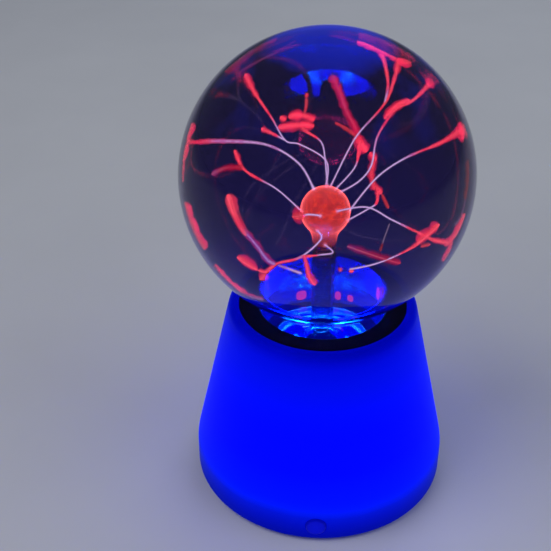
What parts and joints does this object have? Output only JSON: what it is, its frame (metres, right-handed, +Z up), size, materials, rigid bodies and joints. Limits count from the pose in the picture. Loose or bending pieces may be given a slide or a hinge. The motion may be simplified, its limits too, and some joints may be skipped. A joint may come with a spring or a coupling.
{
  "type": "plasma ball",
  "caption": "Clear glass globe on a flared luminous base, with a red centre electrode on a glass stem, a black collar ring at the neck and a round push button low on the front.",
  "frame": {"origin": "centre of the footprint, on the surface that the feet stand on", "axes": "+Z up through the globe's centre; the push button faces -Y and the power inlet +Y; +X to the right as seen from the front"},
  "size_m": [0.15, 0.15, 0.263],
  "materials": {
    "clear_glass": "clear, polished, slightly smoky",
    "electrode_glass": "frosted ball lit orange-red from inside, clear stem below",
    "steel_wool": "fine matted steel wool",
    "spring_steel": "drawn wire, satin",
    "black_rubber": "matte black moulded rubber",
    "grey_foam": "closed-cell foam",
    "white_plastic": "moulded, fine matt grain",
    "zinc_steel": "bright zinc plate",
    "lit_plastic": "milky translucent shell glowing blue, soft satin sheen",
    "circuit_board": "green solder mask",
    "led_lens": "clear domed lens, lit blue",
    "ferrite": "pressed ferrite, dark grey",
    "tan_plastic": "moulded nylon",
    "copper_wire": "enamelled copper, glossy",
    "black_epoxy": "moulded black, fine grain",
    "heatsink_aluminium": "extruded, fine draw lines",
    "capacitor_sleeve": "shrunk plastic sleeve",
    "film_dip": "dipped lacquer",
    "resistor_body": "lacquered ceramic with wire ends",
    "ivory_plastic": "moulded nylon",
    "brass_pin": "turned and plated",
    "red_silicone": "silicone sleeve",
    "red_pvc": "soft sleeve",
    "yellow_pvc": "soft sleeve",
    "blue_pvc": "soft sleeve"
  },
  "bodies": {
    "lamp": {"glass_globe": "clear_glass", "inner_electrode": "electrode_glass", "exhaust_tip": "clear_glass", "electrode_wool": "steel_wool", "contact_spring": "spring_steel", "stem_plug": "black_rubber", "collar_ring": "black_rubber", "neck_pad": "grey_foam", "globe_holder": "white_plastic", "holder_screws": "zinc_steel", "base_shell": "lit_plastic", "base_plate": "white_plastic", "plate_screws": "zinc_steel", "rubber_feet": "black_rubber", "led_board": "circuit_board", "led_board_screws": "zinc_steel", "globe_leds": "led_lens", "base_leds": "led_lens", "driver_board": "circuit_board", "board_screws": "zinc_steel", "transformer_core": "ferrite", "coil_bobbin": "tan_plastic", "primary_coil": "copper_wire", "secondary_coil": "copper_wire", "power_transistor": "black_epoxy", "heatsink": "heatsink_aluminium", "transistor_screw": "zinc_steel", "electrolytic_capacitors": "capacitor_sleeve", "film_capacitor": "film_dip", "control_chip": "black_epoxy", "resistors": "resistor_body", "wire_connectors": "ivory_plastic", "switch_body": "black_epoxy", "switch_board": "circuit_board", "dc_jack": "black_epoxy", "dc_jack_pin": "brass_pin", "hv_lead": "red_silicone", "power_leads": "red_pvc", "switch_leads": "yellow_pvc", "led_leads": "blue_pvc"},
    "button": {"power_button": "lit_plastic", "switch_plunger": "ivory_plastic"}
  },
  "joints": [
    {"name": "button_press", "type": "slide", "parent": "lamp", "child": "button", "axis": [0, 1, 0], "range_m": [0, 0.0015], "stiffness_N_per_m": 1200}
  ]
}
